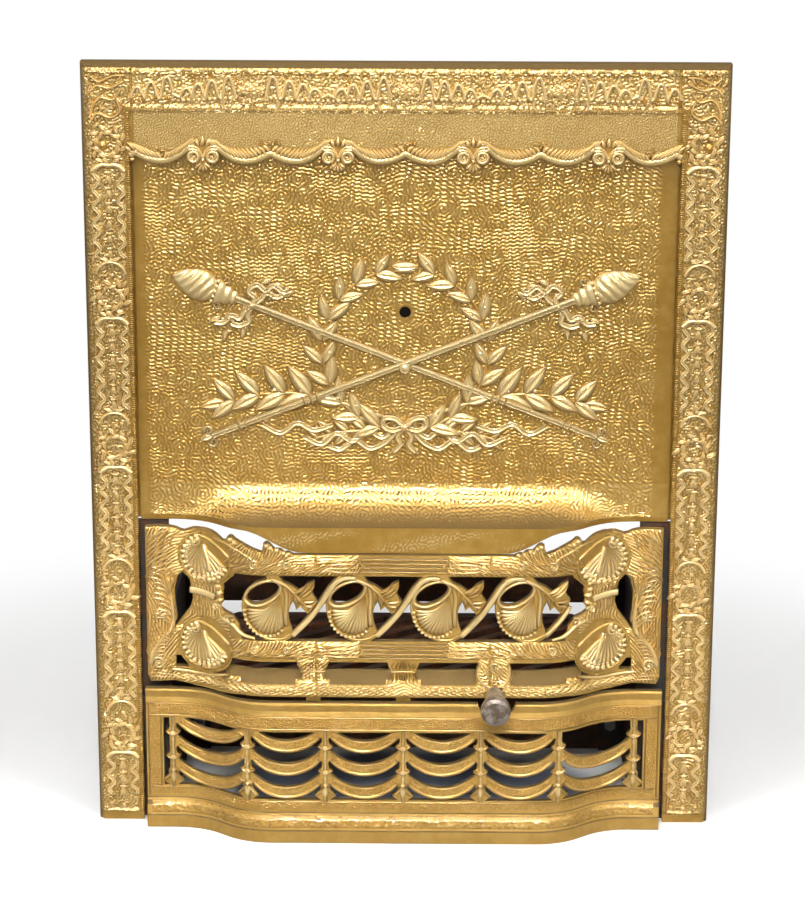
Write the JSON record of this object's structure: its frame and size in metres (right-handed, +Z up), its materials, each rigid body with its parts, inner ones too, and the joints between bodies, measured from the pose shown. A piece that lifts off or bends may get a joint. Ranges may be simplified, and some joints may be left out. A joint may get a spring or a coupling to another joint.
{
  "type": "cast iron fireplace insert",
  "caption": "Gold enamelled cast iron fireplace insert: bordered frame, tilting summer cover, bowed scrollwork basket front, swagged ash front and a shaking grate with a pull knob.",
  "frame": {"origin": "on the hearth, at the middle of the width and of the whole depth from the knob to the rear bolts", "axes": "+X to the right of someone facing the insert, +Y back into the chimney breast, +Z up"},
  "size_m": [0.61, 0.3115, 0.762],
  "materials": {
    "gold_enamel": "semi-gloss gold enamel over cast iron, worn",
    "box_iron": "sooty cast iron",
    "rusty_iron": "fire-worn cast iron with rust",
    "bolt_steel": "dull dark steel",
    "worn_knob": "dark iron worn by the hand"
  },
  "bodies": {
    "insert_frame": {"outer_frame": "gold_enamel", "frame_screws": "gold_enamel", "left_cheek": "box_iron", "right_cheek": "box_iron", "cheek_bolts": "bolt_steel", "basket_front": "gold_enamel", "basket_bolts": "bolt_steel", "fireback": "rusty_iron", "pit_back": "rusty_iron", "back_bolts": "bolt_steel", "grate_bearer": "box_iron", "bearer_bolts": "bolt_steel", "left_hanger": "box_iron", "right_hanger": "box_iron", "hanger_screws": "bolt_steel", "tilt_pins": "bolt_steel"},
    "cover": {"summer_cover": "gold_enamel"},
    "ash_panel": {"ash_front": "gold_enamel"},
    "shaker": {"grate": "rusty_iron", "shaker_rod": "bolt_steel", "rod_pin": "bolt_steel", "rod_ferrule": "bolt_steel", "shaker_knob": "worn_knob"}
  },
  "joints": [
    {"name": "cover_tilt", "type": "hinge", "parent": "insert_frame", "child": "cover", "pos_m": [0, -0.03275, 0.676], "axis": [-1, 0, 0], "range_deg": [0, 10]},
    {"name": "ash_draw", "type": "slide", "parent": "insert_frame", "child": "ash_panel", "axis": [0, -1, 0], "range_m": [0, 0.08]},
    {"name": "grate_shake", "type": "slide", "parent": "insert_frame", "child": "shaker", "axis": [0, -1, 0], "range_m": [0, 0.02]}
  ]
}
